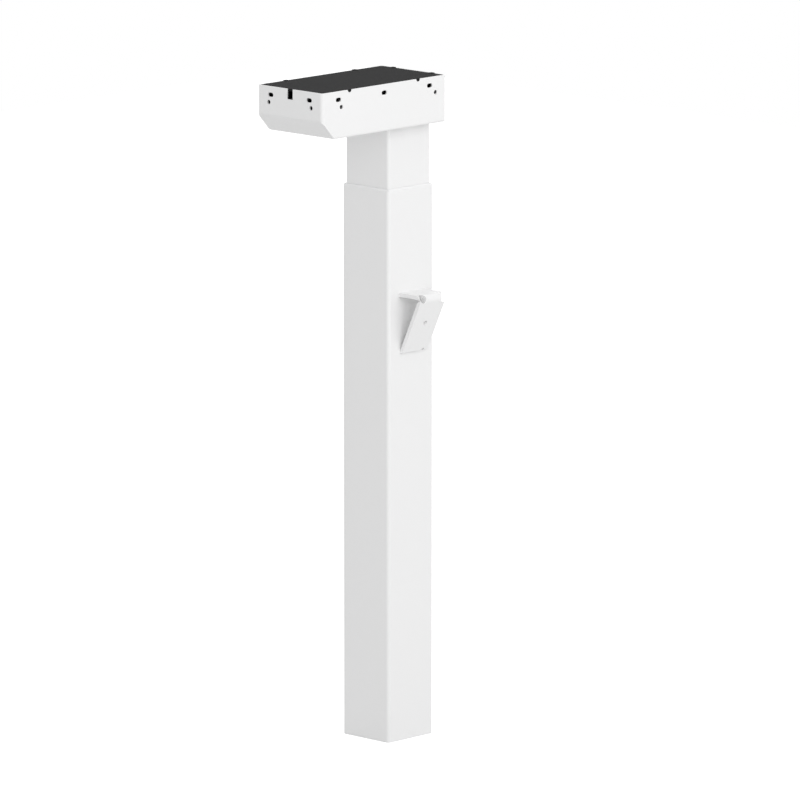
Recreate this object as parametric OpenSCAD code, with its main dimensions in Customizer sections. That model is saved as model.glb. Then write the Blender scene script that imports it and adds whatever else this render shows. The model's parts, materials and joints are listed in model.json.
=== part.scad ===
/* [Column] */
// Outer tube, width across the flats
outer_w = 70; // [66:1:80]
// Inner tube, width across the flats
inner_w = 65; // [60:1:66]
// Wall of both tubes
tube_wall = 1.5; // [1:0.1:2.5]
// Height of the column's lower part, collar included
column_len = 610; // [560:5:700]
// Neck left showing when the column is closed
neck = 67.6; // [40:0.2:120]
// Travel of the column
stroke = 500; // [100:10:500]
// Height of the collar on the outer tube
collar_h = 3; // [2:0.5:6]
// Thickness of the base plate
base_t = 10; // [8:1:16]
// Spacing of the four base holes
base_pitch = 44; // [36:1:48]
// Radius of the base holes, tapped M8
base_hole_r = 3.4; // [2.5:0.1:4.5]

/* [Head] */
// Reach of the head behind the column's axis
head_back = 150.6; // [120:0.2:180]
// Reach of the head in front of the column's axis
head_front = 40.4; // [38:0.2:60]
// Width of the head
head_w = 97.4; // [94:0.2:120]
// Height of the head
head_h = 51.2; // [46:0.2:60]
// Sheet thickness of the head
sheet = 1.5; // [1.5:0.1:3]
// Corner radius of the head, seen from above
head_r = 4; // [2.5:0.5:8]
// Run of the chamfer under the back end
chamfer_run = 18.5; // [5:0.5:30]
// Rise of the same chamfer
chamfer_rise = 19.8; // [5:0.1:30]
// Half width of the fixing slots
slot_r = 2.3; // [1.6:0.05:3]
// End to end length of the fixing slots
slot_len = 8.1; // [5:0.1:12]
// Radius of the small holes under the slots
small_r = 2.4; // [1.2:0.1:3]
// Slot height under the rim
slot_drop = 9; // [7:0.1:14]
// Small hole height under the rim
small_drop = 17.2; // [14:0.1:24]
// Width of the cable slot
cable_w = 8.6; // [5:0.1:12]
// Depth of the cable slot under the rim
cable_drop = 11.2; // [8:0.1:16]

/* [Bracket] */
// Height of the bracket's top face over the base
bracket_top = 495.4; // [300:0.1:560]
// Height of the bracket
bracket_h = 65.9; // [50:0.2:90]
// Left end of the bracket's top plate, from the column's axis
shelf_left = -18.8; // [-28:0.1:-14]
// Right end of the fold, cut back from both plates
fold_right = 15.7; // [12:0.1:28]
// How far the sloping plate's left edge stands inside the top plate's end
plate_inset = 1.2; // [0:0.1:4]
// Right edge of the bracket's two plates
plate_right = 21.8; // [14:0.1:28]
// Sideways place of the fixing hole
bracket_x = 2; // [-10:0.5:10]
// Thickness of the bracket's plate
bracket_t = 4; // [3:0.5:6]
// Outside radius of its fold
fold_r = 6; // [5:0.5:12]
// Lean of the sloping plate from upright
lean = 25; // [15:0.1:35]
// Radius of the hole through the fold
fold_hole_r = 5; // [3:0.1:7]

/* [Drive] */
// Spindle radius over the thread
spindle_r = 8; // [7:0.5:9]
// Radial clearance of every running fit
running_gap = 0.05; // [0.02:0.01:0.1]
// Teeth of the wheel on the spindle
wheel_teeth = 30; // [24:1:40]
// Module of the wheel
wheel_module = 1.25; // [1:0.05:1.3]
// Pitch radius of the worm
worm_pitch_r = 6.5; // [6:0.1:7]
// Radius of the motor
motor_r = 19; // [16:0.5:19]

/* [Hidden] */
$fn = 48;
tiny = 0.01;
outer_r = 4;
inner_r = 3.5;
outer_in = outer_w / 2 - tube_wall;
glide_gap = 0.1;
inner_out = inner_w / 2;
head_z0 = column_len + neck;
head_z1 = head_z0 + head_h;
inner_z0 = 22;
tray_t = 2;
tray_z1 = head_z1 - 4;
floor_z = head_z0 + sheet + tray_t;
flange_t = 4;
case_z0 = floor_z + flange_t;
axis_z = head_z0 + 26.5;
case_z1 = axis_z + 11.5;
tower_z1 = axis_z + 18;
tower_r = 17;
wheel_pitch_r = wheel_teeth * wheel_module / 2;
wheel_tip_r = wheel_pitch_r + wheel_module;
wheel_root_r = wheel_pitch_r - 1.25 * wheel_module;
wheel_w = 14;
axes_gap = wheel_pitch_r + worm_pitch_r;
nut_z1 = column_len - 28;
nut_z0 = nut_z1 - 36;
nut_tube_r = 15;
nut_tube_in = 13;
spindle_z0 = nut_z0 - stroke - 2;
flange_box = [[-46, -44.2], [36, 44.2]];
case_box = [[-46, -27], [34, 44.2]];
case_bolts = [[-40, -20], [28, -20], [-40, 38], [28, 38]];
shell_bolts = [[-20, -40], [16, -40], [-20, 40], [16, 40]];
side_slots = [-126, -55.8, 14.4];
side_smalls = [-121.7, 23.5];
end_slots = [-28.8, 28.8];
end_smalls = [-31.6, 31.6];
side_tabs = [-109, -3.5];
front_tabs = [-29, 29];
tab_r = 2.5;
tab_top = 0.4;
lid_r = 7;
motor_x0 = -126;
motor_x1 = -46;
face_lean = tan(lean);

// Unit vector along v
function unit(v) = v / norm(v);
// Unit vectors from corner i of a polygon to its neighbours
function back_dir(p, i) = unit(p[(i + len(p) - 1) % len(p)] - p[i]);
function next_dir(p, i) = unit(p[(i + 1) % len(p)] - p[i]);
// Half of the inside angle at corner i
function half_angle(p, i) = acos(back_dir(p, i) * next_dir(p, i)) / 2;
// Corner i moved inwards so that both of its sides move by t
function inset_corner(p, i, t) =
    p[i] + unit(back_dir(p, i) + next_dir(p, i)) * t / sin(half_angle(p, i));

// A convex polygon moved in by inset, with true arcs of the given radii at its corners
module soft_shape(p, radii, inset = 0) {
    n = len(p);
    q = [for (i = [0:n - 1]) inset_corner(p, i, inset)];
    r = [for (i = [0:n - 1]) max(radii[i] - inset, 0)];
    polygon([for (i = [0:n - 1]) for (c = r[i] > 0
        ? [q[i] + back_dir(q, i) * r[i] / tan(half_angle(q, i)),
           q[i] + next_dir(q, i) * r[i] / tan(half_angle(q, i))]
        : [q[i]]) c]);
    for (i = [0:n - 1]) {
        if (r[i] > 0) {
            translate(inset_corner(q, i, r[i])) circle(r = r[i]);
        }
    }
}

// A rectangle between two corners
function box_points(a, b) = [[a[0], a[1]], [b[0], a[1]], [b[0], b[1]], [a[0], b[1]]];

module soft_box(a, b, r, inset = 0) {
    soft_shape(box_points(a, b), [r, r, r, r], inset);
}

module soft_square(w, r) {
    soft_box([-w / 2, -w / 2], [w / 2, w / 2], r);
}

// Lay a profile drawn in X and Z along Y, middle on the origin
module along_y(len) {
    rotate([90, 0, 0]) linear_extrude(len, center = true) children();
}

// Lay a profile drawn in Y and Z along X, middle on the origin
module along_x(len) {
    rotate([90, 0, 90]) linear_extrude(len, center = true) children();
}

// A cylinder along X from x0 to x1 on the motor's axis
module motor_round(x0, x1, r) {
    translate([x0, axes_gap, axis_z]) rotate([0, 90, 0]) cylinder(r = r, h = x1 - x0);
}

// A ring round Z
module ring(r_out, r_in, z0, z1) {
    translate([0, 0, z0]) difference() {
        cylinder(r = r_out, h = z1 - z0);
        translate([0, 0, -1]) cylinder(r = r_in, h = z1 - z0 + 2);
    }
}

// A plate with round corners and a bevel round its top edge
module bevel_plate(a, b, r, z0, z1, bevel) {
    intersection() {
        translate([0, 0, z0]) linear_extrude(z1 - z0) soft_box(a, b, r);
        along_y(2000) polygon([[a[0], z0 - 1], [b[0], z0 - 1], [b[0], z1 - bevel],
            [b[0] - bevel, z1], [a[0] + bevel, z1], [a[0], z1 - bevel]]);
        along_x(2000) polygon([[a[1], z0 - 1], [b[1], z0 - 1], [b[1], z1 - bevel],
            [b[1] - bevel, z1], [a[1] + bevel, z1], [a[1], z1 - bevel]]);
    }
}

// Flat pads on the four sides of a square, two on each side
module pads(r_in, r_out, z0, z1) {
    for (turn = [0:90:270]) {
        rotate(turn) {
            for (side = [-1, 1]) {
                translate([r_in, side * 16 - 8, z0]) cube([r_out - r_in, 16, z1 - z0]);
            }
        }
    }
}

// ---- column, standing part ----

module outer_tube() {
    color("white") linear_extrude(column_len - collar_h) difference() {
        soft_square(outer_w, outer_r);
        soft_square(outer_in * 2, outer_r - tube_wall);
    }
}

module top_collar() {
    z0 = column_len - collar_h;
    half = outer_w / 2;
    color("gainsboro") difference() {
        bevel_plate([-half, -half], [half, half], outer_r, z0, column_len, 2.1);
        translate([0, 0, z0 - 1]) linear_extrude(collar_h + 2) soft_square(inner_w + 0.6, inner_r + 0.3);
    }
}

module upper_glides() {
    z1 = column_len - collar_h;
    color("ivory") pads(inner_out + glide_gap, outer_in, z1 - 30, z1);
}

module base_plate() {
    color("gray") difference() {
        linear_extrude(base_t) soft_square(outer_in * 2, outer_r - tube_wall);
        for (x = [-1, 1]) {
            for (y = [-1, 1]) {
                translate([x * base_pitch / 2, y * base_pitch / 2, -1]) cylinder(r = base_hole_r, h = base_t + 2);
            }
        }
        for (turn = [45:90:315]) {
            rotate(turn) translate([20, 0, 3]) cylinder(r = 2.5, h = base_t);
        }
    }
}

module nut_tube() {
    color("silver") difference() {
        union() {
            translate([0, 0, base_t]) cylinder(r = 25, h = 5);
            translate([0, 0, base_t]) cylinder(r = nut_tube_r, h = nut_z1 - 6 - base_t);
        }
        translate([0, 0, base_t - 1]) cylinder(r = nut_tube_in, h = nut_z1);
        for (turn = [45:90:315]) {
            rotate(turn) translate([20, 0, base_t - 1]) cylinder(r = 2.7, h = 7);
        }
    }
}

module nut_tube_screws() {
    color("dimgray") for (turn = [45:90:315]) {
        rotate(turn) translate([20, 0, 0]) difference() {
            union() {
                translate([0, 0, 4]) cylinder(r = 2.5, h = base_t + 1.5);
                translate([0, 0, base_t + 5]) cylinder(r = 4.25, h = 4.5);
            }
            translate([0, 0, base_t + 7]) cylinder(r = 2.3, h = 5, $fn = 6);
        }
    }
}

module spindle_nut() {
    color("ivory") difference() {
        union() {
            translate([0, 0, nut_z0]) cylinder(r = nut_tube_in, h = nut_z1 - nut_z0);
            translate([0, 0, nut_z1 - 6]) cylinder(r = nut_tube_r, h = 6);
        }
        translate([0, 0, nut_z0 - 1]) cylinder(r = spindle_r + running_gap, h = 60);
    }
}

// Side view of the bracket's outside: flat top, sloping front, back on the tube
function bracket_outline() = let (
    back = -outer_w / 2,
    low = bracket_top - bracket_h,
    foot = back - bracket_t * cos(lean)
) [[back + 30, bracket_top], [foot - bracket_h * face_lean, bracket_top],
   [foot + 40 * face_lean, low - 40], [back + 30, low - 40]];

module wedge_bracket() {
    low = bracket_top - bracket_h;
    back = -outer_w / 2;
    foot = back - bracket_t * cos(lean);
    fold_half = (90 - lean) / 2;
    fold_in = fold_r / sin(fold_half) - fold_r;
    fold_y = foot - bracket_h * face_lean + fold_in * cos(fold_half);
    fold_z = bracket_top - fold_in * sin(fold_half);
    color("white") difference() {
        translate([(shelf_left + plate_right) / 2, 0, 0]) along_x(plate_right - shelf_left) difference() {
            soft_shape(bracket_outline(), [0, fold_r, 0, 0]);
            soft_shape(bracket_outline(), [0, fold_r, 0, 0], bracket_t);
            translate([back, low - 60]) square([60, bracket_h + 80]);
            translate([back - 80, low - 60]) square([90, 60]);
        }
        // relief hole where the fold meets the left edges of both plates
        translate([shelf_left + 5.6, fold_y, fold_z])
            rotate([90 - fold_half, 0, 0]) cylinder(r = fold_hole_r, h = 30, center = true);
        // the sloping plate starts inside the top plate's left end
        translate([shelf_left - 3, back - 60, low - 5]) cube([3 + plate_inset, 90, bracket_h + 0.5]);
        // the fold and the top stop short of the sloping plate's right edge
        translate([fold_right, back - 60, bracket_top - 11]) cube([10, 35.5, 14]);
        // fixing hole in the middle of the sloping plate
        translate([bracket_x, foot - 33 * face_lean, low + 33])
            rotate([90 + lean, 0, 0]) cylinder(r = 2.75, h = 12, center = true);
        // half round notch in the lower edge
        translate([bracket_x + 12.3, foot - 0.5 * face_lean, low + 0.5])
            rotate([90 + lean, 0, 0]) cylinder(r = 1.8, h = 12, center = true);
    }
}

// ---- lift, moving part ----

module inner_tube() {
    color("white") translate([0, 0, inner_z0]) linear_extrude(floor_z - inner_z0) difference() {
        soft_square(inner_w, inner_r);
        soft_square(inner_w - 2 * tube_wall, inner_r - tube_wall);
    }
}

module lower_glides() {
    color("ivory") pads(inner_out, outer_in - glide_gap, inner_z0 + 2, inner_z0 + 40);
}

module top_flange() {
    color("silver") difference() {
        translate([0, 0, floor_z]) linear_extrude(flange_t) soft_box(flange_box[0], flange_box[1], 5);
        translate([0, 0, floor_z - 1]) cylinder(r = 12, h = flange_t + 2);
        for (p = case_bolts) {
            translate([p[0], p[1], floor_z - 1]) cylinder(r = 2.5, h = flange_t + 2);
        }
        for (p = shell_bolts) {
            translate([p[0], p[1], floor_z - 1]) cylinder(r = 2.5, h = flange_t + 2);
        }
    }
}

// Outline of the head from above, from the side and from its end
module head_plan(inset) {
    soft_box([-head_back, -head_w / 2], [head_front, head_w / 2], head_r, inset);
}

module head_side(inset) {
    soft_shape([[-head_back, head_z1 + 30], [-head_back, head_z0 + chamfer_rise],
        [-head_back + chamfer_run, head_z0], [head_front, head_z0], [head_front, head_z1 + 30]],
        [0, 4, 4, 3, 0], inset);
}

module head_end(inset) {
    soft_shape([[-head_w / 2, head_z1 + 30], [-head_w / 2, head_z0], [head_w / 2, head_z0],
        [head_w / 2, head_z1 + 30]], [0, 2.5, 2.5, 0], inset);
}

// The head's outside, moved in by inset and cut off at z_top
module head_block(inset, z_top) {
    intersection() {
        translate([0, 0, head_z0 - 5]) linear_extrude(z_top - head_z0 + 5) head_plan(inset);
        along_y(400) head_side(inset);
        along_x(800) head_end(inset);
    }
}

// A slot lying along X, cut along Y
module side_slot(x, z, len, r) {
    translate([x, 0, z]) along_y(200) {
        square([len - 2 * r, 2 * r], center = true);
        for (side = [-1, 1]) {
            translate([side * (len / 2 - r), 0]) circle(r = r);
        }
    }
}

// The fixing slots, small holes and cable slot of the head, grown by extra
module head_openings(extra) {
    for (x = side_slots) {
        side_slot(x, head_z1 - slot_drop, slot_len + 2 * extra, slot_r + extra);
    }
    for (x = side_smalls) {
        translate([x, 0, head_z1 - small_drop]) along_y(200) circle(r = small_r + extra);
    }
    translate([-head_back, 0, head_z1]) {
        for (y = end_slots) {
            translate([0, y, -slot_drop]) along_x(20) {
                square([slot_len - 2 * slot_r, 2 * (slot_r + extra)], center = true);
                for (side = [-1, 1]) {
                    translate([side * (slot_len / 2 - slot_r), 0]) circle(r = slot_r + extra);
                }
            }
        }
        for (y = end_smalls) {
            translate([0, y, -small_drop]) along_x(20) circle(r = small_r + extra);
        }
        translate([-10, -cable_w / 2, -cable_drop]) cube([20, cable_w, cable_drop + 1]);
    }
}

module head_shell() {
    hole = inner_w / 2 + 0.25;
    color("white") difference() {
        head_block(0, head_z1);
        head_block(sheet, head_z1 + 5);
        translate([0, 0, head_z0 - 1]) linear_extrude(sheet + 2) soft_square(hole * 2, inner_r);
        head_openings(0);
        for (p = shell_bolts) {
            translate([p[0], p[1], head_z0 - 1]) cylinder(r = 2.75, h = sheet + 2);
            translate([p[0], p[1], head_z0 - tiny]) cylinder(r1 = 4.5, r2 = 2.75, h = sheet);
        }
        for (x = side_tabs) {
            translate([x, 0, head_z1]) along_y(200) circle(r = tab_r + 0.3);
        }
        for (y = front_tabs) {
            translate([head_front, y, head_z1]) along_x(40) circle(r = tab_r + 0.3);
        }
    }
}

module inner_housing() {
    hole = inner_w / 2 + 0.25;
    color("dimgray") {
        difference() {
            head_block(sheet, tray_z1);
            head_block(sheet + tray_t, tray_z1 + 5);
            translate([0, 0, head_z0 - 1]) linear_extrude(sheet + tray_t + 2) soft_square(hole * 2, inner_r);
            head_openings(0.4);
            for (p = shell_bolts) {
                translate([p[0], p[1], head_z0 - 1]) cylinder(r = 2.75, h = 6);
            }
        }
        for (p = [[-122, -38], [-122, -2], [-62, -38], [-62, -2]]) {
            translate([p[0], p[1], floor_z]) cylinder(r = 3, h = 5);
        }
    }
}

// A disc cut off just above its middle
module lid_tab() {
    intersection() {
        circle(r = tab_r);
        translate([-5, -5]) square([10, 5 + tab_top]);
    }
}

module head_lid() {
    gap = sheet + 0.2;
    low = head_z1 - 2.5;
    reach = head_w / 2;
    color("dimgray") union() {
        bevel_plate([-head_back + gap, -reach + gap], [head_front - gap, reach - gap], lid_r,
            low, head_z1, 0.9);
        difference() {
            translate([0, 0, tray_z1]) linear_extrude(low - tray_z1 + 1) head_plan(gap);
            translate([0, 0, tray_z1 - 1]) linear_extrude(low - tray_z1 + 3) head_plan(sheet + tray_t);
            translate([-head_back - 1, -cable_w / 2, tray_z1 - 1]) cube([8, cable_w, 2.5]);
        }
        for (x = side_tabs) {
            for (side = [-1, 1]) {
                translate([x, side * (reach - 2.5), head_z1]) along_y(5) lid_tab();
            }
        }
        for (y = front_tabs) {
            translate([head_front - 2.5, y, head_z1]) along_x(5) lid_tab();
        }
    }
}

module shell_screws() {
    color("dimgray") for (p = shell_bolts) {
        translate([p[0], p[1], head_z0]) difference() {
            union() {
                cylinder(r1 = 4.25, r2 = 2.5, h = sheet);
                cylinder(r = 2.5, h = 7);
            }
            translate([0, 0, -1]) cylinder(r = 1.7, h = 2, $fn = 6);
        }
    }
}

// The hollow inside both halves of the gear case
module case_hollow() {
    wheel_top = axis_z + wheel_w / 2;
    translate([0, 0, axis_z - wheel_w / 2 - 0.5]) cylinder(r = wheel_tip_r + 0.8, h = wheel_w + 1);
    translate([0, 0, case_z0 + 8]) cylinder(r = 13, h = 4);
    translate([0, 0, case_z0 - 1]) cylinder(r = 16, h = 10);
    translate([0, 0, wheel_top]) cylinder(r = 13, h = 9);
    translate([0, 0, wheel_top]) cylinder(r = 6, h = 9.6);
    motor_round(-24, 21, 8.6);
    motor_round(-31, -26, 8);
    motor_round(23, 28, 8);
    motor_round(motor_x1 - 1, 30, 3.4);
    motor_round(motor_x1 - 1, motor_x1 + 3, 7);
    for (p = case_bolts) {
        translate([p[0], p[1], case_z0 - 1]) cylinder(r = 2.75, h = 60);
        translate([p[0], p[1], case_z1 - 5.5]) cylinder(r = 4.6, h = 10);
    }
}

module gear_case() {
    color("silver") difference() {
        translate([0, 0, case_z0]) linear_extrude(axis_z - case_z0) soft_box(case_box[0], case_box[1], 4);
        case_hollow();
    }
}

module gear_cover() {
    color("silver") difference() {
        union() {
            translate([0, 0, axis_z]) linear_extrude(case_z1 - axis_z) soft_box(case_box[0], case_box[1], 4);
            translate([0, 0, axis_z]) cylinder(r = tower_r, h = tower_z1 - axis_z);
        }
        case_hollow();
    }
}

module case_screws() {
    color("dimgray") for (p = case_bolts) {
        translate([p[0], p[1], 0]) difference() {
            union() {
                translate([0, 0, floor_z + 1]) cylinder(r = 2.5, h = case_z1 - 5 - floor_z);
                translate([0, 0, case_z1 - 5.5]) cylinder(r = 4.25, h = 5);
            }
            translate([0, 0, case_z1 - 3.5]) cylinder(r = 2.3, h = 5, $fn = 6);
        }
    }
}

// Outer ring of a ball bearing with its shield, standing on Z
module outer_race(r_out, r_in, w) {
    wall = (r_out - r_in) * 0.3;
    rotate_extrude() {
        translate([r_out - wall, 0]) square([wall, w]);
        translate([r_in + wall + 0.4, w / 2 - 0.5]) square([r_out - r_in - 2 * wall - 0.4 + tiny, 1]);
    }
}

module inner_race(r_out, r_in, w) {
    wall = (r_out - r_in) * 0.3;
    rotate_extrude() translate([r_in, 0]) square([wall, w]);
}

module bearing_rings() {
    color("silver") {
        translate([0, 0, case_z0]) outer_race(16, 7.5, 9);
        translate([0, 0, axis_z + wheel_w / 2 + 1]) outer_race(13, 5, 8);
        for (x = [-31, 23]) {
            translate([x, axes_gap, axis_z]) rotate([0, 90, 0]) outer_race(8, 2.5, 5);
        }
    }
}

module motor_can() {
    color("gray") difference() {
        motor_round(motor_x0, motor_x1, motor_r);
        motor_round(motor_x0 - 1, motor_x1 - 3, motor_r - 1.8);
        motor_round(motor_x0, motor_x1 + 1, 3);
    }
}

module motor_magnets() {
    color("dimgray") difference() {
        motor_round(motor_x0 + 12, motor_x1 - 12, motor_r - 1.8);
        motor_round(motor_x0 + 11, motor_x1 - 11, motor_r - 4);
        translate([motor_x0, axes_gap - 3, axis_z - 30]) cube([100, 6, 60]);
    }
}

module motor_end_cap() {
    color("dimgray") difference() {
        union() {
            motor_round(motor_x0 - 6, motor_x0, motor_r);
            motor_round(motor_x0, motor_x0 + 4, motor_r - 1.8);
        }
        motor_round(motor_x0 - 3, motor_x0 + 5, 2.5 + running_gap);
        motor_round(motor_x0 + 1, motor_x0 + 5, motor_r - 4);
    }
}

module control_board() {
    z = floor_z + 5;
    color("darkgreen") {
        translate([-127, -43, z]) cube([70, 46, 1.6]);
        translate([-70, -32, z + 1.6]) cylinder(r = 6, h = 18);
        translate([-84, -32, z + 1.6]) cylinder(r = 6, h = 18);
        translate([-104, -40, z + 1.6]) cube([12, 16, 12]);
        translate([-98, -16, z + 1.6]) cube([10, 10, 2]);
        translate([-78, -16, z + 1.6]) cube([14, 8, 2]);
    }
}

module cable_socket() {
    z = floor_z + 6.6;
    color("dimgray") difference() {
        translate([-126, -11, z]) cube([14, 13, 11]);
        translate([-124.5, -9.5, z + 2]) cube([11, 10, 10]);
    }
}

// ---- spindle, turning part ----

module spindle() {
    color("silver") difference() {
        rotate_extrude() polygon([[0, spindle_z0], [spindle_r - 1, spindle_z0], [spindle_r, spindle_z0 + 1],
            [spindle_r, floor_z - 1], [10, floor_z - 1], [10, case_z0], [7.5, case_z0],
            [7.5, case_z0 + 9], [7, case_z0 + 9], [7, axis_z + wheel_w / 2], [5, axis_z + wheel_w / 2],
            [5, axis_z + wheel_w / 2 + 9], [0, axis_z + wheel_w / 2 + 9]]);
        translate([0, 0, spindle_z0 - 1]) cylinder(r = 3, h = 15);
    }
}

module worm_wheel() {
    z0 = axis_z - wheel_w / 2;
    root_half = 360 / wheel_teeth * 0.30;
    tip_half = 360 / wheel_teeth * 0.14;
    color("ivory") difference() {
        union() {
            translate([0, 0, z0]) linear_extrude(wheel_w) {
                circle(r = wheel_root_r);
                for (i = [0:wheel_teeth - 1]) {
                    rotate(i * 360 / wheel_teeth) polygon([
                        [(wheel_root_r - 1) * cos(root_half), (wheel_root_r - 1) * sin(-root_half)],
                        [wheel_root_r * cos(root_half), wheel_root_r * sin(-root_half)],
                        [wheel_tip_r * cos(tip_half), wheel_tip_r * sin(-tip_half)],
                        [wheel_tip_r * cos(tip_half), wheel_tip_r * sin(tip_half)],
                        [wheel_root_r * cos(root_half), wheel_root_r * sin(root_half)],
                        [(wheel_root_r - 1) * cos(root_half), (wheel_root_r - 1) * sin(root_half)]]);
                }
            }
            translate([0, 0, case_z0 + 9]) cylinder(r = 9, h = z0 - case_z0 - 9);
            translate([0, 0, z0 + wheel_w]) cylinder(r = 8, h = 1);
        }
        translate([0, 0, z0 - 10]) cylinder(r = 7, h = wheel_w + 10);
        translate([0, 0, z0]) cylinder(r = 5, h = wheel_w + 5);
    }
}

module spindle_races() {
    color("silver") {
        translate([0, 0, case_z0]) inner_race(16, 7.5, 9);
        translate([0, 0, axis_z + wheel_w / 2 + 1]) inner_race(13, 5, 8);
    }
}

module spindle_stop() {
    color("silver") ring(12, 3, spindle_z0 - 6, spindle_z0);
}

module stop_screw() {
    color("dimgray") translate([0, 0, spindle_z0]) difference() {
        union() {
            translate([0, 0, -6]) cylinder(r = 3, h = 18);
            translate([0, 0, -10.5]) cylinder(r = 5, h = 4.5);
        }
        translate([0, 0, -11]) cylinder(r = 2.8, h = 3, $fn = 6);
    }
}

// ---- motor shaft, turning part ----

module motor_shaft() {
    color("silver") motor_round(motor_x0 - 2.5, 29, 2.5);
}

module armature() {
    color("chocolate") {
        difference() {
            motor_round(motor_x0 + 18, motor_x1 - 16, 14);
            motor_round(motor_x0 + 17, motor_x1 - 15, 2.5);
            for (i = [0:8]) {
                translate([motor_x0 + 17, axes_gap, axis_z]) rotate([i * 40, 0, 0])
                    translate([0, 8, -1]) cube([100, 10, 2]);
            }
        }
        difference() {
            motor_round(motor_x0 + 6, motor_x0 + 16, 6);
            motor_round(motor_x0 + 5, motor_x0 + 17, 2.5);
        }
    }
}

module worm() {
    color("goldenrod") difference() {
        motor_round(-20, 20, worm_pitch_r - 1.5);
        motor_round(-21, 21, 2.5);
    }
}

module worm_races() {
    color("silver") for (x = [-31, 23]) {
        translate([x, axes_gap, axis_z]) rotate([0, 90, 0]) inner_race(8, 2.5, 5);
    }
}

outer_tube();
top_collar();
upper_glides();
base_plate();
nut_tube();
nut_tube_screws();
spindle_nut();
wedge_bracket();
inner_tube();
lower_glides();
top_flange();
head_shell();
inner_housing();
head_lid();
shell_screws();
gear_case();
gear_cover();
case_screws();
bearing_rings();
motor_can();
motor_magnets();
motor_end_cap();
control_board();
cable_socket();
spindle();
worm_wheel();
spindle_races();
spindle_stop();
stop_screw();
motor_shaft();
armature();
worm();
worm_races();
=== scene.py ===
import json
import math
import bmesh
import bpy
from mathutils import Matrix, Vector


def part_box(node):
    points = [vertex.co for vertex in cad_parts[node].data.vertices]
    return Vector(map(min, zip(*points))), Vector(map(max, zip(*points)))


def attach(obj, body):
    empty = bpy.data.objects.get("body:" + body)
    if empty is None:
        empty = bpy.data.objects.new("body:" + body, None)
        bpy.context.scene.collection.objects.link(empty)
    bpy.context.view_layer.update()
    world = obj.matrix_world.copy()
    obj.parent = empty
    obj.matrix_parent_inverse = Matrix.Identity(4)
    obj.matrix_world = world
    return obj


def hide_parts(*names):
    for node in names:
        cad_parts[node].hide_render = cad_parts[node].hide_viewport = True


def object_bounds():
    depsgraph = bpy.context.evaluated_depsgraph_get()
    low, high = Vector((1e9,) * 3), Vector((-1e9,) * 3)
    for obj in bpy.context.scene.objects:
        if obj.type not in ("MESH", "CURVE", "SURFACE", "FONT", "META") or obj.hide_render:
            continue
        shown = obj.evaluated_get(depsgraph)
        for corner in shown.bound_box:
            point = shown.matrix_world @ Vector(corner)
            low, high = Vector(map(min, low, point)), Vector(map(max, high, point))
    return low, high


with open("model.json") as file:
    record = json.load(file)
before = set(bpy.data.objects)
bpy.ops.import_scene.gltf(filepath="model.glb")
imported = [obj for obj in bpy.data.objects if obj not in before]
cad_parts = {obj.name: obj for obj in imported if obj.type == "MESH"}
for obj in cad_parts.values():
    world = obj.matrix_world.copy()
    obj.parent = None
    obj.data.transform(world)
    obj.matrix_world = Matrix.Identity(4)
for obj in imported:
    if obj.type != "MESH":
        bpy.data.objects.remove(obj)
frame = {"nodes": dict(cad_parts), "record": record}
cadLow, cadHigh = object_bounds()
cadNodes = frame["nodes"]
print("frame loaded:", len(cadNodes), "pieces")


def directionFrom(azimuth, elevation):  # unit vector from the column towards a stand point
    a, e = math.radians(azimuth), math.radians(elevation)
    return Vector((math.sin(a) * math.cos(e), -math.cos(a) * math.cos(e), math.sin(e)))


def aimAt(thing, target):  # turn a camera or lamp so that it looks at target
    thing.rotation_euler = (Vector(target) - thing.location).to_track_quat("-Z", "Y").to_euler()


def mathNode(tree, operation, first, second, clamp=False):
    node = tree.nodes.new("ShaderNodeMath")
    node.operation = operation
    node.use_clamp = clamp
    for i, value in enumerate((first, second)):
        if isinstance(value, (int, float)):
            node.inputs[i].default_value = value
        else:
            tree.links.new(value, node.inputs[i])
    return node.outputs[0]


def mixShaders(tree, factor, first, second):
    node = tree.nodes.new("ShaderNodeMixShader")
    for i, value in enumerate((factor, first, second)):
        tree.links.new(value, node.inputs[i])
    return node.outputs[0]


cameraSetup = {
    "azimuth": -46.02,  # degrees from the front, round the column
    "elevation": 10.62,
    "distance": 9.728,
    "pivot": (0, 0, 0.385),  # the stand point is measured from here
    "aim": (0.0073, -0.01125, 0.3713),
    "lens": 403.1,
    "sensor": 36,
    "nearClip": 0.1,
    "farClip": 60,
}

camera = bpy.data.objects.new("camera", bpy.data.cameras.new("camera"))
bpy.context.scene.collection.objects.link(camera)
camera.data.sensor_width = cameraSetup["sensor"]
camera.data.lens = cameraSetup["lens"]
camera.data.clip_start = cameraSetup["nearClip"]
camera.data.clip_end = cameraSetup["farClip"]
camera.location = Vector(cameraSetup["pivot"]) + directionFrom(
    cameraSetup["azimuth"], cameraSetup["elevation"]) * cameraSetup["distance"]
aimAt(camera, cameraSetup["aim"])
bpy.context.scene.camera = camera
bpy.context.scene.view_settings.view_transform = "Standard"
print("camera set")


studio = {
    "roomColour": (1, 1, 1, 1),
    "ambient": 0.69,  # strength of the room's light on the object
    "backdrop": 1,  # its strength in sight, in gloss and through glass
    "floorSize": 7.0,
    "floorGap": 0.0002,  # the floor lies this far below the foot
    "floorColour": (0.8, 0.8, 0.8, 1),
    "floorGlow": 0.72,  # added for the camera only
    # lamps: degrees round the column and up, watts, and metres across
    "keyAzimuth": -12, "keyElevation": 28, "keyPower": 23.8, "keySize": 2.2,
    "topAzimuth": 40, "topElevation": 80, "topPower": 5.3, "topSize": 2.4,
    "fillAzimuth": -72, "fillElevation": 8, "fillPower": 2.6, "fillSize": 2.4,
    "backAzimuth": 140, "backElevation": 44, "backPower": 6.5, "backSize": 1.8,
    "lampDistance": 2.6,
}


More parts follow.
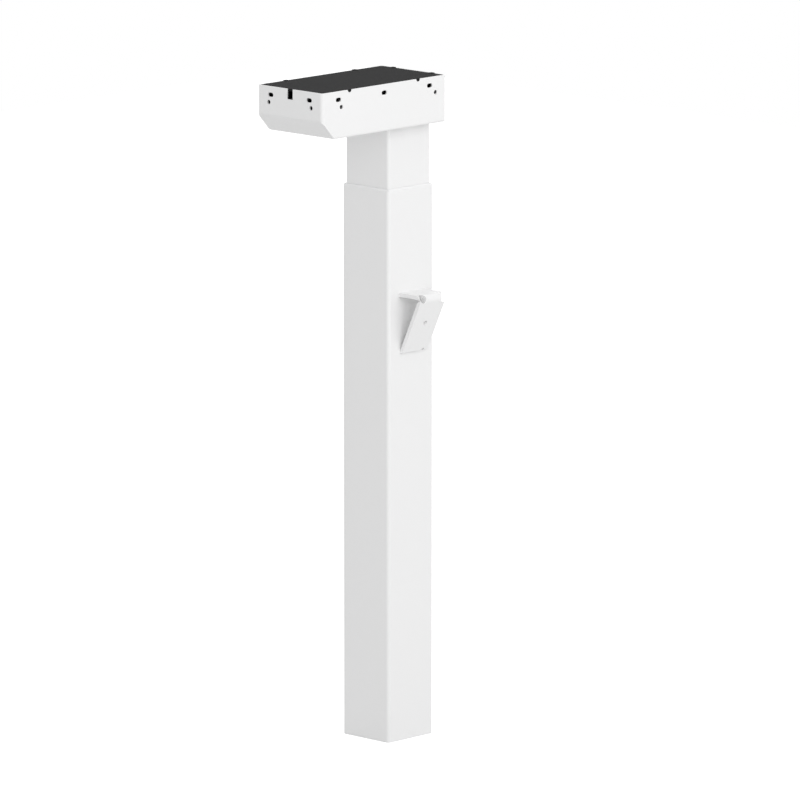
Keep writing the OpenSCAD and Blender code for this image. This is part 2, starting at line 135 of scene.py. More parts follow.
def roomLight(tree, colour, strength):
    node = tree.nodes.new("ShaderNodeBackground")
    node.inputs["Color"].default_value = colour
    node.inputs["Strength"].default_value = strength
    return node.outputs[0]


def buildWorld(look):
    world = bpy.data.worlds.new("studioRoom")
    world.use_nodes = True
    tree = world.node_tree
    tree.nodes.clear()
    path = tree.nodes.new("ShaderNodeLightPath").outputs
    glossOrGlass = mathNode(tree, "ADD", path["Is Glossy Ray"], path["Is Transmission Ray"])
    inSight = mathNode(tree, "ADD", path["Is Camera Ray"], glossOrGlass, clamp=True)
    room = roomLight(tree, look["roomColour"], look["ambient"])
    backdrop = roomLight(tree, look["roomColour"], look["backdrop"])
    out = tree.nodes.new("ShaderNodeOutputWorld")
    tree.links.new(mixShaders(tree, inSight, room, backdrop), out.inputs["Surface"])
    bpy.context.scene.world = world


def buildFloor(look):
    mesh = bpy.data.meshes.new("studioFloor")
    half = look["floorSize"] / 2
    z = cadLow.z - look["floorGap"]
    corners = [(-half, -half, z), (half, -half, z), (half, half, z), (-half, half, z)]
    mesh.from_pydata(corners, [], [(0, 1, 2, 3)])
    floor = bpy.data.objects.new("studioFloor", mesh)
    bpy.context.scene.collection.objects.link(floor)
    material = bpy.data.materials.new("paleFloor")
    material.use_nodes = True
    tree = material.node_tree
    tree.nodes.clear()
    path = tree.nodes.new("ShaderNodeLightPath").outputs
    side = tree.nodes.new("ShaderNodeNewGeometry").outputs
    diffuse = tree.nodes.new("ShaderNodeBsdfDiffuse")
    diffuse.inputs["Color"].default_value = look["floorColour"]
    emission = tree.nodes.new("ShaderNodeEmission")
    glow = mathNode(tree, "MULTIPLY", path["Is Camera Ray"], look["floorGlow"])
    tree.links.new(glow, emission.inputs["Strength"])
    lit = tree.nodes.new("ShaderNodeAddShader")
    tree.links.new(diffuse.outputs[0], lit.inputs[0])
    tree.links.new(emission.outputs[0], lit.inputs[1])
    clear = tree.nodes.new("ShaderNodeBsdfTransparent")
    # seen from below, the floor is clear
    below = mathNode(tree, "MULTIPLY", side["Backfacing"], path["Is Camera Ray"])
    surface = mixShaders(tree, below, lit.outputs[0], clear.outputs[0])
    out = tree.nodes.new("ShaderNodeOutputMaterial")
    tree.links.new(surface, out.inputs["Surface"])
    mesh.materials.append(material)


def buildLamp(name):
    data = bpy.data.lights.new(name + "Lamp", "AREA")
    data.shape = "SQUARE"
    data.size = studio[name + "Size"]
    data.energy = studio[name + "Power"]
    lamp = bpy.data.objects.new(name + "Lamp", data)
    bpy.context.scene.collection.objects.link(lamp)
    middle = (cadLow + cadHigh) / 2
    stand = directionFrom(studio[name + "Azimuth"], studio[name + "Elevation"])
    lamp.location = middle + stand * studio["lampDistance"]
    aimAt(lamp, middle)


buildWorld(studio)
buildFloor(studio)
for name in ("key", "top", "fill", "back"):
    buildLamp(name)
print("studio built")


def newGroup(name, inputs, outputs):
    group = bpy.data.node_groups.new(name, "ShaderNodeTree")
    for socketName, kind, value in inputs:
        socket = group.interface.new_socket(name=socketName, in_out="INPUT", socket_type=kind)
        socket.default_value = value
    for socketName, kind in outputs:
        group.interface.new_socket(name=socketName, in_out="OUTPUT", socket_type=kind)
    return group, group.nodes.new("NodeGroupInput"), group.nodes.new("NodeGroupOutput")


def noiseNode(group, vector, scale, detail):
    node = group.nodes.new("ShaderNodeTexNoise")
    node.inputs["Detail"].default_value = detail
    group.links.new(vector, node.inputs["Vector"])
    if isinstance(scale, (int, float)):
        node.inputs["Scale"].default_value = scale
    else:
        group.links.new(scale, node.inputs["Scale"])
    return node.outputs["Fac"]


def colourMix(tree, factor, first, second):
    node = tree.nodes.new("ShaderNodeMix")
    node.data_type = "RGBA"
    for i, value in ((0, factor), (6, first), (7, second)):  # the node's factor and two colours
        if isinstance(value, tuple):
            node.inputs[i].default_value = value
        else:
            tree.links.new(value, node.inputs[i])
    return node.outputs[2]


def buildFineGrain():  # texture of a powder coat or a spark-eroded mould
    group, given, result = newGroup("fineGrain", [
        ("Grain Scale", "NodeSocketFloat", 900.0), ("Soft Scale", "NodeSocketFloat", 120.0),
        ("Soft Share", "NodeSocketFloat", 0.4), ("Roughness", "NodeSocketFloat", 0.5),
        ("Spread", "NodeSocketFloat", 0.1)],
        [("Height", "NodeSocketFloat"), ("Roughness", "NodeSocketFloat")])
    place = group.nodes.new("ShaderNodeTexCoord").outputs["Object"]
    fine = noiseNode(group, place, given.outputs["Grain Scale"], 3)
    soft = noiseNode(group, place, given.outputs["Soft Scale"], 2)
    softPart = mathNode(group, "MULTIPLY", soft, given.outputs["Soft Share"])
    height = mathNode(group, "ADD", fine, softPart)
    centred = mathNode(group, "SUBTRACT", soft, 0.5)
    swing = mathNode(group, "MULTIPLY", centred, given.outputs["Spread"])
    rough = mathNode(group, "ADD", given.outputs["Roughness"], swing)
    group.links.new(height, result.inputs["Height"])
    group.links.new(rough, result.inputs["Roughness"])
    return group


def buildToneDrift():  # slow change of tone, with a few faint specks
    speckScale, speckLevel = 1400.0, 0.71
    group, given, result = newGroup("toneDrift", [
        ("Colour", "NodeSocketColor", (1, 1, 1, 1)),
        ("Second Colour", "NodeSocketColor", (0.9, 0.9, 0.9, 1)),
        ("Scale", "NodeSocketFloat", 9.0), ("Amount", "NodeSocketFloat", 0.5),
        ("Specks", "NodeSocketFloat", 0.05)],
        [("Colour", "NodeSocketColor")])
    place = group.nodes.new("ShaderNodeTexCoord").outputs["Object"]
    drift = noiseNode(group, place, given.outputs["Scale"], 4)
    share = mathNode(group, "MULTIPLY", drift, given.outputs["Amount"])
    specks = noiseNode(group, place, speckScale, 1)
    few = mathNode(group, "GREATER_THAN", specks, speckLevel)
    speckShare = mathNode(group, "MULTIPLY", few, given.outputs["Specks"])
    total = mathNode(group, "ADD", share, speckShare)
    mixed = colourMix(group, total, given.outputs["Colour"], given.outputs["Second Colour"])
    group.links.new(mixed, result.inputs["Colour"])
    return group


def buildEdgeWearAndShadeMask():  # mask of the outer edges, broken up by noise; it lightens most finishes as edge wear and darkens black plastic's edges as painted shade
    edgeGain = 6.0
    group, given, result = newGroup("edgeWearAndShadeMask", [
        ("Width", "NodeSocketFloat", 0.0008), ("Amount", "NodeSocketFloat", 0.5),
        ("Break Up", "NodeSocketFloat", 260.0)],
        [("Mask", "NodeSocketFloat")])
    bevel = group.nodes.new("ShaderNodeBevel")
    bevel.samples = 4
    group.links.new(given.outputs["Width"], bevel.inputs["Radius"])
    surface = group.nodes.new("ShaderNodeNewGeometry")
    dot = group.nodes.new("ShaderNodeVectorMath")
    dot.operation = "DOT_PRODUCT"
    group.links.new(bevel.outputs["Normal"], dot.inputs[0])
    group.links.new(surface.outputs["Normal"], dot.inputs[1])
    turn = mathNode(group, "SUBTRACT", 1.0, dot.outputs["Value"])
    sharp = mathNode(group, "MULTIPLY", turn, edgeGain)
    place = group.nodes.new("ShaderNodeTexCoord").outputs["Object"]
    noise = noiseNode(group, place, given.outputs["Break Up"], 4)
    broken = mathNode(group, "MULTIPLY", sharp, noise)
    mask = mathNode(group, "MULTIPLY", broken, given.outputs["Amount"], clamp=True)
    group.links.new(mask, result.inputs["Mask"])
    return group


def buildLongLines():  # drawing or grinding lines along one direction
    group, given, result = newGroup("longLines", [
        ("Stretch", "NodeSocketVector", (1, 1, 0.02)), ("Scale", "NodeSocketFloat", 700.0),
        ("Roughness", "NodeSocketFloat", 0.35), ("Spread", "NodeSocketFloat", 0.25)],
        [("Height", "NodeSocketFloat"), ("Roughness", "NodeSocketFloat")])
    place = group.nodes.new("ShaderNodeTexCoord").outputs["Object"]
    scaled = group.nodes.new("ShaderNodeVectorMath")
    scaled.operation = "MULTIPLY"
    group.links.new(place, scaled.inputs[0])
    group.links.new(given.outputs["Stretch"], scaled.inputs[1])
    lines = noiseNode(group, scaled.outputs["Vector"], given.outputs["Scale"], 3)
    centred = mathNode(group, "SUBTRACT", lines, 0.5)
    swing = mathNode(group, "MULTIPLY", centred, given.outputs["Spread"])
    rough = mathNode(group, "ADD", given.outputs["Roughness"], swing)
    group.links.new(lines, result.inputs["Height"])
    group.links.new(rough, result.inputs["Roughness"])
    return group


fineGrain = buildFineGrain()
toneDrift = buildToneDrift()
edgeWearAndShadeMask = buildEdgeWearAndShadeMask()
longLines = buildLongLines()
print("node groups built")


def placeGroup(material, group, values):
    node = material.node_tree.nodes.new("ShaderNodeGroup")
    node.node_tree = group
    for name, value in values.items():
        node.inputs[name].default_value = value
    return node


def makeFinish(name, look):
    material = bpy.data.materials.new(name)
    material.use_nodes = True
    tree = material.node_tree
    shader = tree.nodes["Principled BSDF"]
    shader.inputs["Metallic"].default_value = look["metallic"]
    shader.inputs["IOR"].default_value = look["ior"]
    shader.inputs["Specular IOR Level"].default_value = look["specular"]
    tone = placeGroup(material, toneDrift, {
        "Colour": (*look["colour"], 1), "Second Colour": (*look["second"], 1),
        "Scale": look["driftScale"], "Amount": look["drift"], "Specks": look["specks"]})
    edgeWearAndShade = placeGroup(material, edgeWearAndShadeMask, {"Width": look["edgeWearAndShadeWidth"], "Amount": look["edgeWearAndShade"]})
    # towards the edge colour at the edges: edge wear on most finishes, a painted shade line on
    # black plastic
    colour = colourMix(tree, edgeWearAndShade.outputs["Mask"], tone.outputs["Colour"], (*look["edgeWearAndShadeColour"], 1))
    tree.links.new(colour, shader.inputs["Base Color"])
    if "lines" in look:
        grain = placeGroup(material, longLines, {
            "Stretch": look["lines"], "Scale": look["grainScale"],
            "Roughness": look["roughness"], "Spread": look["spread"]})
    else:
        grain = placeGroup(material, fineGrain, {
            "Grain Scale": look["grainScale"], "Soft Scale": look["softScale"],
            "Soft Share": look["softShare"], "Roughness": look["roughness"],
            "Spread": look["spread"]})
    bump = tree.nodes.new("ShaderNodeBump")
    bump.inputs["Strength"].default_value = look["bump"]
    bump.inputs["Distance"].default_value = look["bumpDepth"]
    tree.links.new(grain.outputs["Height"], bump.inputs["Height"])
    tree.links.new(grain.outputs["Roughness"], shader.inputs["Roughness"])
    tree.links.new(bump.outputs["Normal"], shader.inputs["Normal"])
    return material


plainFinish = {  # holds wherever a finish says nothing else
    "metallic": 0, "ior": 1.5, "specular": 0.5, "spread": 0.1, "bumpDepth": 0.0001,
    "softScale": 120, "softShare": 0.4, "drift": 0.5, "driftScale": 9, "specks": 0.05,
    "edgeWearAndShade": 0.3, "edgeWearAndShadeWidth": 0.0006,
}

# colours are the surface's own, save the black plastic's darker edge colour, which is painted
# shade; scales are per metre, and lines gives the stretch of long lines
finishes = {
    "white_paint": {
        "colour": (0.88, 0.88, 0.88), "second": (0.85, 0.852, 0.855),
        "edgeWearAndShadeColour": (0.93, 0.93, 0.93), "roughness": 0.44, "spread": 0.16, "bump": 0.5,
        "bumpDepth": 0.00009, "grainScale": 1300, "softScale": 360, "softShare": 0.9,
    },
    "light_plastic": {
        "colour": (0.88, 0.882, 0.885), "second": (0.86, 0.86, 0.865),
        "edgeWearAndShadeColour": (0.92, 0.92, 0.92), "roughness": 0.5, "bump": 0.12, "grainScale": 1800,
    },
    "natural_plastic": {
        "colour": (0.8, 0.79, 0.73), "second": (0.74, 0.73, 0.66),
        "edgeWearAndShadeColour": (0.86, 0.85, 0.8), "roughness": 0.32, "bump": 0.1, "grainScale": 1100,
    },
    "zinc_steel": {
        "colour": (0.55, 0.56, 0.58), "second": (0.42, 0.43, 0.45),
        "edgeWearAndShadeColour": (0.72, 0.72, 0.73), "metallic": 1, "roughness": 0.38, "spread": 0.3,
        "bump": 0.12, "driftScale": 40, "grainScale": 1200,
    },
    "bright_steel": {
        "colour": (0.62, 0.62, 0.63), "second": (0.5, 0.5, 0.52),
        "edgeWearAndShadeColour": (0.78, 0.78, 0.79), "metallic": 1, "roughness": 0.26, "spread": 0.2,
        "bump": 0.12, "lines": (1, 1, 14), "grainScale": 260,
    },
    "bearing_steel": {
        "colour": (0.68, 0.68, 0.7), "second": (0.58, 0.58, 0.6),
        "edgeWearAndShadeColour": (0.8, 0.8, 0.8), "metallic": 1, "roughness": 0.18, "spread": 0.2,
        "bump": 0.06, "lines": (1, 1, 20), "grainScale": 300,
    },
    "black_screws": {
        "colour": (0.03, 0.03, 0.032), "second": (0.05, 0.05, 0.052),
        "edgeWearAndShadeColour": (0.25, 0.25, 0.25), "metallic": 0.7, "roughness": 0.42, "bump": 0.1,
        "grainScale": 1500, "edgeWearAndShade": 0.5,
    },
    "black_plastic": {
        "colour": (0.0145, 0.0145, 0.015), "second": (0.0195, 0.0195, 0.02),
        # the darker edge colour is painted shade, a dark line round the lid's edges and those of
        # the other black parts
        "edgeWearAndShadeColour": (0.012, 0.012, 0.0125), "specular": 0.065, "roughness": 0.75, "spread": 0.14,
        "bump": 0.22, "bumpDepth": 0.00012, "grainScale": 1600, "softScale": 500,
        "softShare": 0.6, "drift": 0.8, "driftScale": 14,
    },
    "cast_aluminium": {
        "colour": (0.58, 0.585, 0.59), "second": (0.46, 0.465, 0.47),
        "edgeWearAndShadeColour": (0.75, 0.75, 0.76), "metallic": 1, "roughness": 0.5, "spread": 0.2, "bump": 0.35,
        "bumpDepth": 0.0002, "grainScale": 500, "driftScale": 30,
    },
    "magnet_ferrite": {
        "colour": (0.05, 0.05, 0.053), "second": (0.08, 0.08, 0.08),
        "edgeWearAndShadeColour": (0.14, 0.14, 0.14), "roughness": 0.7, "bump": 0.3, "grainScale": 700,
    },
    "copper_winding": {
        "colour": (0.55, 0.25, 0.11), "second": (0.42, 0.17, 0.07),
        "edgeWearAndShadeColour": (0.68, 0.36, 0.2), "metallic": 0.9, "roughness": 0.35, "spread": 0.2,
        "bump": 0.4, "lines": (0.1, 1, 1), "grainScale": 900,
    },
    "green_board": {
        "colour": (0.015, 0.1, 0.035), "second": (0.02, 0.14, 0.05),
        "edgeWearAndShadeColour": (0.3, 0.3, 0.16), "roughness": 0.35, "bump": 0.08, "grainScale": 400,
        "driftScale": 120,
    },
}

materials = {name: makeFinish(name + "Finish", {**plainFinish, **look})
             for name, look in finishes.items()}
slotOf = {part["node"]: part["material_slot"] for part in frame["record"]["subparts"]}
for name, node in cadNodes.items():
    node.data.materials.clear()
    node.data.materials.append(materials[slotOf[name]])
print("materials placed")


def addRing(work, points):
    return [work.verts.new(point) for point in points]


def joinRings(work, rings):
    for first, second in zip(rings, rings[1:]):
        count = len(first)
        for i in range(count):
            work.faces.new((first[i], first[(i + 1) % count], second[(i + 1) % count], second[i]))


def closedPrism(work, rings):
    joinRings(work, rings)
    work.faces.new(rings[0])
    work.faces.new(rings[-1])


def roundRing(radius, height, count, turn=0.0):
    angles = [turn + math.tau * i / count for i in range(count)]
    return [(radius * math.cos(angle), radius * math.sin(angle), height) for angle in angles]


def latheRings(work, profile, marks, sides, turn=0.0, x=0.0, y=0.0):
    rings = []  # a profile gives radius, mark and height above the mark
    for radius, mark, offset in profile:
        points = roundRing(radius, marks[mark] + offset, sides, turn)
        rings.append(addRing(work, [(x + px, y + py, pz) for px, py, pz in points]))
    return rings


def newPiece(name, work, body, slot, place=None):
    bmesh.ops.recalc_face_normals(work, faces=work.faces)
    if place:
        bmesh.ops.transform(work, matrix=place, verts=work.verts)
    mesh = bpy.data.meshes.new(name)
    work.to_mesh(mesh)
    work.free()
    mesh.materials.append(materials[slot])
    piece = bpy.data.objects.new(name, mesh)
    bpy.context.scene.collection.objects.link(piece)
    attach(piece, body)
    return piece


def edgeAngles(mesh):
    faces = {}
    for polygon in mesh.polygons:
        for key in polygon.edge_keys:
            faces.setdefault(key, []).append(polygon.normal)
    return [pair[0].angle(pair[1], math.pi) if len(pair) == 2 else math.pi
            for pair in (faces[edge.key] for edge in mesh.edges)]


def smoothBelow(piece, degrees):  # round faces look round, sharp edges stay sharp
    piece.data.shade_smooth()
    for edge, angle in zip(piece.data.edges, edgeAngles(piece.data)):
        edge.use_edge_sharp = angle > math.radians(degrees)


spindleThread = {
    "lead": 0.012, "starts": 4, "crest": 0.008, "root": 0.00625,
    "length": 0.556, "stepsPerTurn": 18,
    "tipTaper": 0.001,  # how much smaller the crest is at the low end
    "bore": 0.003, "boreDepth": 0.014,  # for the stop's screw
    # place across one pitch, and height: 0 is the root, 1 is the crest
    "profile": ((-0.5, 0), (-0.335, 0), (-0.183, 1), (0, 1), (0.183, 1), (0.335, 0)),
    # the turned end above the thread: radius, and height from one of three marks
    "shank": ((0.008, "thread", -0.0003), (0.008, "races", -0.005), (0.01, "races", -0.005),
              (0.01, "races", 0), (0.0075, "races", 0), (0.0075, "races", 0.009),
              (0.007, "races", 0.009), (0.007, "top", -0.009), (0.005, "top", -0.009),
              (0.005, "top", -0.0005), (0.0045, "top", 0)),
    "shankSides": 48,
}


def threadRing(look, height, start):
    turn = math.tau * height / look["lead"]
    tapered = look["crest"] - look["tipTaper"] + (height - start)
    limit = max(min(look["crest"], tapered), look["root"])
    points = []
    for lobe in range(look["starts"]):
        for share, top in look["profile"]:
            angle = turn + math.tau * (lobe + share) / look["starts"]
            radius = min(look["root"] + (look["crest"] - look["root"]) * top, limit)
            points.append((radius * math.cos(angle), radius * math.sin(angle), height))
    return points


def buildSpindle(look):
    low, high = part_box("spindle")
    start = low[2]
    work = bmesh.new()
    step = look["lead"] / look["stepsPerTurn"]
    rings = [addRing(work, threadRing(look, start + i * step, start))
             for i in range(round(look["length"] / step) + 1)]
    sides = len(rings[0])
    phase = math.tau * start / look["lead"] - math.pi / look["starts"]
    inner = [addRing(work, roundRing(look["bore"], start + depth, sides, phase))
             for depth in (0, look["boreDepth"])]
    joinRings(work, list(reversed(rings)) + inner)
    work.faces.new(rings[-1])
    work.faces.new(inner[-1])
    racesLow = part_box("spindle_races")[0][2]
    marks = {"thread": start + look["length"], "races": racesLow, "top": high[2]}
    closedPrism(work, latheRings(work, look["shank"], marks, look["shankSides"]))
    piece = newPiece("spindleWithThread", work, "spindle", "bright_steel")
    smoothBelow(piece, 35)
    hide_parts("spindle")


wormThread = {
    "lead": 0.00785398, "starts": 2, "length": 0.036, "stepsPerTurn": 24,
    "core": 0.005, "bore": 0.0025, "edge": 0.0004, "coreSides": 32,
    # angle from the middle of the ridge, and radius
    "profile": ((-1.5708, 0.00495), (-1.222, 0.00495), (-0.82, 0.006375), (-0.4216, 0.00775),
                (0, 0.00775), (0.4216, 0.00775), (0.82, 0.006375), (1.222, 0.00495)),
}


def buildWorm(look):
    low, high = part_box("worm")
    work = bmesh.new()
    step = look["lead"] / look["stepsPerTurn"]
    rings = []
    for i in range(round(look["length"] / step) + 1):
        along = -look["length"] / 2 + i * step
        middle = math.pi + along / (look["lead"] / math.tau)
        ring = []
        for lobe in range(look["starts"]):
            for offset, radius in look["profile"]:
                angle = middle + lobe * math.tau / look["starts"] + offset
                ring.append((along, radius * math.cos(angle), radius * math.sin(angle)))
        rings.append(addRing(work, ring))
    closedPrism(work, rings)
    half, bore, core, edge = (high[0] - low[0]) / 2, look["bore"], look["core"], look["edge"]
    tube = []
    for radius, along in ((bore, -half), (core - edge, -half), (core, -half + edge),
                          (core, half - edge), (core - edge, half), (bore, half)):
        points = roundRing(radius, along, look["coreSides"])
        tube.append(addRing(work, [(z, x, y) for x, y, z in points]))
    joinRings(work, tube + tube[:1])
    place = Matrix.Translation([(low[i] + high[i]) / 2 for i in range(3)])
    piece = newPiece("wormWithThread", work, "motor", "bright_steel", place)
    smoothBelow(piece, 30)
    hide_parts("worm")


wheelTeeth = {
    "teeth": 30, "pitchRadius": 0.01875, "width": 0.014, "steps": 8, "helix": 10.88,
    "topLip": 0.001,  # how far the hub stands above the teeth
    # degrees from the middle of a tooth, and radius
    "profile": ((-6, 0.0171875), (-3.6, 0.0171875), (-2.72, 0.01875), (-1.68, 0.02),
                (1.68, 0.02), (2.72, 0.01875), (3.6, 0.0171875)),
    # radius, and height from the teeth's ends or the wheel's ends
    "hub": ((0.008, "teethTop", 0), (0.008, "top", 0), (0.005, "top", 0), (0.005, "teethTop", 0),
            (0.007, "teethTop", 0), (0.007, "low", 0), (0.009, "low", 0), (0.009, "teethLow", 0)),
}


def buildWormWheel(look):
    low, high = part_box("worm_wheel")
    bottom = high[2] - look["topLip"] - look["width"]
    slope = math.tan(math.radians(look["helix"])) / look["pitchRadius"]
    work = bmesh.new()
    rings = []
    for i in range(look["steps"] + 1):
        height = bottom + look["width"] * i / look["steps"]
        twist = (height - bottom - look["width"] / 2) * slope
        ring = []
        for tooth in range(look["teeth"]):
            for offset, radius in look["profile"]:
                angle = twist + math.tau * tooth / look["teeth"] + math.radians(offset)
                ring.append((radius * math.cos(angle), radius * math.sin(angle), height))
        rings.append(addRing(work, ring))
    marks = {"teethTop": bottom + look["width"], "top": high[2], "low": low[2], "teethLow": bottom}
    start = math.radians(look["profile"][0][0])
    rings += latheRings(work, look["hub"], marks, len(rings[0]), start)
    joinRings(work, rings + rings[:1])
    piece = newPiece("wormWheelWithTeeth", work, "spindle", "natural_plastic")
    smoothBelow(piece, 30)
    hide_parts("worm_wheel")


armatureWork = {
    "slots": 9, "bore": 0.0025,
    # degrees from the middle of a slot, and radius: the slot's floor, the tooth, and the copper
    "root": ((0, 0.0073), (7.7, 0.0075), (32.3, 0.0075)),
    "tooth": ((12.6, 0.0124), (4.48, 0.0128), (4.1, 0.014), (12, 0.014), (20, 0.014),
              (28, 0.014), (35.9, 0.014), (35.52, 0.0128), (27.4, 0.0124)),
    "bundle": ((-6.4, 0.0077), (6.4, 0.0077), (11.4, 0.0122), (3.6, 0.0127),
               (-3.6, 0.0127), (-11.4, 0.0122)),
    # start and stop along the shaft, from the armature's low end
    "core": (0.0165, 0.053), "turns": (0.0115, 0.058),
    "bars": (0.0, 0.0092), "risers": (0.0088, 0.0104),
    "barRadius": 0.006, "riserRadius": 0.0069, "hubRadius": 0.0044, "hubSides": 36,
    "barGap": 2.2,  # degrees left free on each side of a commutator bar
    "riserShare": 0.45, "arcSteps": 8,
    "strands": 80, "strandDepth": 0.00022, "strandSides": 4, "strandLay": 5,
    # how the end turns bulge: share of the way out from the core, and radius
    "bulge": ((0, 0.0124), (0.3, 0.0128), (0.62, 0.0122), (0.88, 0.0106), (1, 0.0086),
              (1, 0.0072), (0.9, 0.0058), (0.5, 0.0052), (0, 0.0052)),
}


def aroundX(x, degrees, radius):
    angle = math.radians(degrees)
    return (x, radius * math.cos(angle), radius * math.sin(angle))


def aroundRing(work, x, points, turn=0.0):  # points are degrees and radius
    return [work.verts.new(aroundX(x, turn + degrees, radius)) for degrees, radius in points]


def buildArmatureCore(work, look, turns):
    borePoints = [(degrees, look["bore"]) for degrees, radius in look["root"]]
    ends = []
    for x in look["core"]:
        roots = [aroundRing(work, x, look["root"], turn) for turn in turns]
        teeth = [aroundRing(work, x, look["tooth"], turn) for turn in turns]
        bores = [aroundRing(work, x, borePoints, turn) for turn in turns]
        rim = [corner for root, tooth in zip(roots, teeth)
               for corner in (*root[:2], *tooth, root[2])]
        inner = [corner for root in roots for corner in root]
        bore = [corner for ring in bores for corner in ring]
        joinRings(work, [inner, bore])
        for root, tooth in zip(roots, teeth):
            work.faces.new((root[1], *tooth, root[2]))
        ends.append((rim, bore))
    joinRings(work, [ends[0][0], ends[1][0]])
    joinRings(work, [ends[0][1], ends[1][1]])


def buildArmatureCoils(work, look, turns):
    for turn in turns:  # copper in the slots
        closedPrism(work, [aroundRing(work, x, look["bundle"], turn) for x in look["core"]])
    count = look["strands"] * look["strandSides"]
    for start, stop in zip(look["core"], look["turns"]):  # end turns, strand beside strand
        rings = []
        for share, radius in look["bulge"]:
            points = []
            for i in range(count):
                phase = i * math.tau / look["strandSides"] + share * look["strandLay"]
                points.append((i * 360 / count, radius + math.cos(phase) * look["strandDepth"]))
            rings.append(aroundRing(work, start + (stop - start) * share, points))
        joinRings(work, rings + rings[:1])


def addArc(work, span, middle, half, inside, outside, steps):
    angles = [middle + half * (2 * i / steps - 1) for i in range(steps + 1)]
    shape = [(a, outside) for a in angles] + [(a, inside) for a in reversed(angles)]
    closedPrism(work, [aroundRing(work, x, shape) for x in span])


def buildArmature(look):
    low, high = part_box("armature")
    place = Matrix.Translation((low[0], (low[1] + high[1]) / 2, (low[2] + high[2]) / 2))
    core, coils, bars, hub = (bmesh.new() for _ in range(4))
    pitch = 360 / look["slots"]
    turns = [i * pitch for i in range(look["slots"])]
    buildArmatureCore(core, look, turns)
    buildArmatureCoils(coils, look, turns)
    hubRadius, steps = look["hubRadius"], look["arcSteps"]
    for turn in turns:  # commutator bars and their risers
        middle, half = turn + pitch / 2, pitch / 2 - look["barGap"]
        addArc(bars, look["bars"], middle, half, hubRadius, look["barRadius"], steps)
        addArc(bars, look["risers"], middle, half * look["riserShare"], hubRadius,
               look["riserRadius"], steps)
    tube = []
    for radius, x in ((look["bore"], 0), (hubRadius, 0), (hubRadius, look["risers"][1]),
                      (look["bore"], look["risers"][1])):
        points = [(i * 360 / look["hubSides"], radius) for i in range(look["hubSides"])]
        tube.append(aroundRing(hub, x, points))
    joinRings(hub, tube + tube[:1])
    for piece in (newPiece("armatureCore", core, "motor", "zinc_steel", place),
                  newPiece("armatureCoils", coils, "motor", "copper_winding", place),
                  newPiece("commutatorBars", bars, "motor", "copper_winding", place),
                  newPiece("commutatorHub", hub, "motor", "black_plastic", place)):
        smoothBelow(piece, 40)
        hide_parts("armature")


controlBoard = {
    # low and high corners, from the board's own low corner
    "plate": ((0, 0, 0), (0.07, 0.046, 0.0016)), "plateRound": 0.00025,
    "relay": ((0.023, 0.003, 0.0016), (0.035, 0.019, 0.0136)), "relayRound": 0.0006,
    "chips": (((0.029, 0.027, 0.0024), (0.039, 0.037, 0.0036)),
              ((0.049, 0.027, 0.0024), (0.063, 0.035, 0.0036))), "chipRound": 0.00015,
    "legPitch": 0.00127, "legWidth": 0.0005, "legReach": 0.0009,
    "legThickness": 0.0002, "legHeight": 0.0014, "legSink": 0.00005,
    "capacitors": ((0.057, 0.011), (0.043, 0.011)), "canHeight": 0.018, "canSides": 40,
    # radius, and height from the can's ends
    "canProfile": ((0.006, "base", 0), (0.006, "base", 0.0014), (0.0055, "base", 0.002),
                   (0.006, "base", 0.0026), (0.006, "top", -0.0006), (0.0054, "top", 0),
                   (0.0048, "top", 0), (0.0046, "top", -0.0003)),
    # rows of small flat parts: first x and y, how many, and the step along x and y
    "smallRows": ((0.004, 0.0228, 5, 0.004, 0), (0.0235, 0.0416, 10, 0.0042, 0),
                  (0.044, 0.026, 3, 0, 0.004)),
    "smallSize": (0.002, 0.00125, 0.00055), "smallRound": 0.00006,
    "endLength": 0.0004, "endGrowth": 0.00004,  # their tinned ends
}


def addBlock(work, low, high, rounding=0.0):
    made = bmesh.ops.create_cube(work, size=1)["verts"]
    low, high = Vector(low), Vector(high)
    for corner in made:
        corner.co = [low[i] + (high[i] - low[i]) * (corner.co[i] + 0.5) for i in range(3)]
    if rounding:
        edges = list(dict.fromkeys(edge for corner in made for edge in corner.link_edges))
        bmesh.ops.bevel(work, geom=edges, offset=rounding, segments=2, profile=0.6, affect="EDGES")


def addChipLegs(work, low, high, look):
    half, thick = look["legWidth"] / 2, look["legThickness"]
    board = look["plate"][1][2]
    footLow, footHigh, legHigh = board - look["legSink"], board + thick, board + look["legHeight"]
    count = int((high[0] - low[0]) / look["legPitch"])
    first = (low[0] + high[0] - (count - 1) * look["legPitch"]) / 2
    for i in range(count):
        x = first + i * look["legPitch"]
        for edge, out in ((low[1], -1), (high[1], 1)):
            near, far = sorted((edge - out * thick, edge + out * look["legReach"]))
            addBlock(work, (x - half, near, footLow), (x + half, far, footHigh))
            near, far = sorted((edge - out * thick, edge + out * thick))
            addBlock(work, (x - half, near, board), (x + half, far, legHigh))


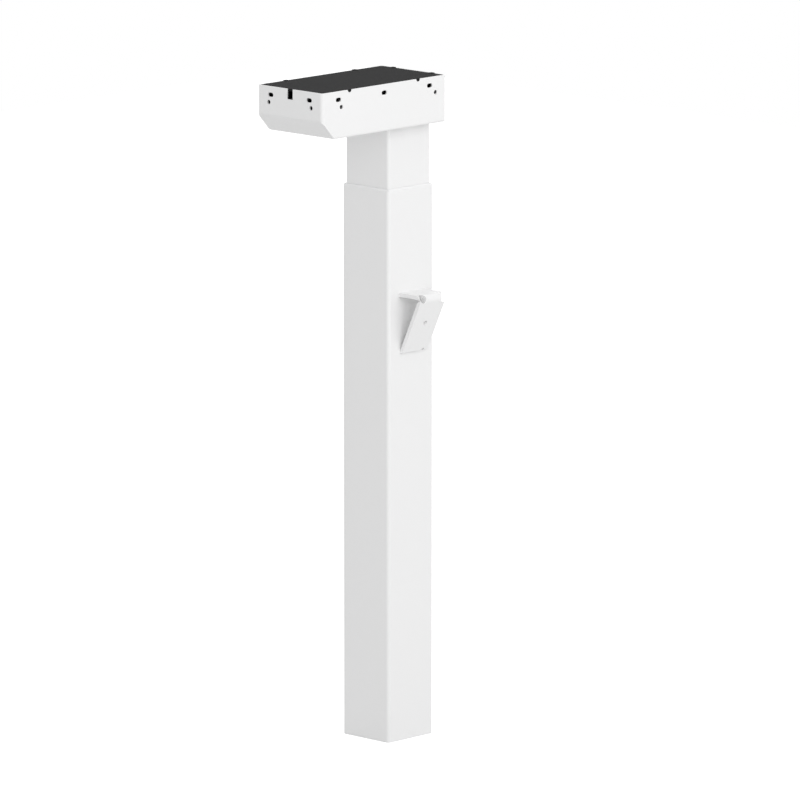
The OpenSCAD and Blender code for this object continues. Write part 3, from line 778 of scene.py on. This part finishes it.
def addSmallPart(bodies, ends, x, y, alongX, look):
    length, width, height = look["smallSize"]
    board, tip = look["plate"][1][2], length / 2 - look["endLength"]
    for work, start, stop, grow in ((bodies, -tip, tip, 0.0),
                                    (ends, -length / 2, -tip, look["endGrowth"]),
                                    (ends, tip, length / 2, look["endGrowth"])):
        spanX, spanY = (start, stop), (-width / 2 - grow, width / 2 + grow)
        if not alongX:
            spanX, spanY = spanY, spanX
        addBlock(work, (x + spanX[0], y + spanY[0], board),
                 (x + spanX[1], y + spanY[1], board + height + grow), look["smallRound"])


def buildControlBoard(look):
    place = Matrix.Translation(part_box("control_board")[0])
    plate, relay, chips, legs, cans, smallBodies, smallEnds = (bmesh.new() for _ in range(7))
    addBlock(plate, *look["plate"], look["plateRound"])
    addBlock(relay, *look["relay"], look["relayRound"])
    for low, high in look["chips"]:
        addBlock(chips, low, high, look["chipRound"])
        addChipLegs(legs, low, high, look)
    board = look["plate"][1][2]
    marks = {"base": board, "top": board + look["canHeight"]}
    for x, y in look["capacitors"]:
        closedPrism(cans, latheRings(cans, look["canProfile"], marks, look["canSides"], x=x, y=y))
    for x, y, count, stepX, stepY in look["smallRows"]:
        for i in range(count):
            addSmallPart(smallBodies, smallEnds, x + i * stepX, y + i * stepY, stepX == 0, look)
    for piece in (newPiece("boardPlate", plate, "lift", "green_board", place),
                  newPiece("boardRelay", relay, "lift", "light_plastic", place),
                  newPiece("boardChips", chips, "lift", "black_plastic", place),
                  newPiece("boardChipLegs", legs, "lift", "zinc_steel", place),
                  newPiece("boardCapacitors", cans, "lift", "cast_aluminium", place),
                  newPiece("boardSmallParts", smallBodies, "lift", "black_plastic", place),
                  newPiece("boardPartEnds", smallEnds, "lift", "zinc_steel", place)):
        smoothBelow(piece, 30)
        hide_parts("control_board")


buildSpindle(spindleThread)
buildWorm(wormThread)
buildWormWheel(wheelTeeth)
buildArmature(armatureWork)
buildControlBoard(controlBoard)
print("thread, worm, wheel, armature and board built")
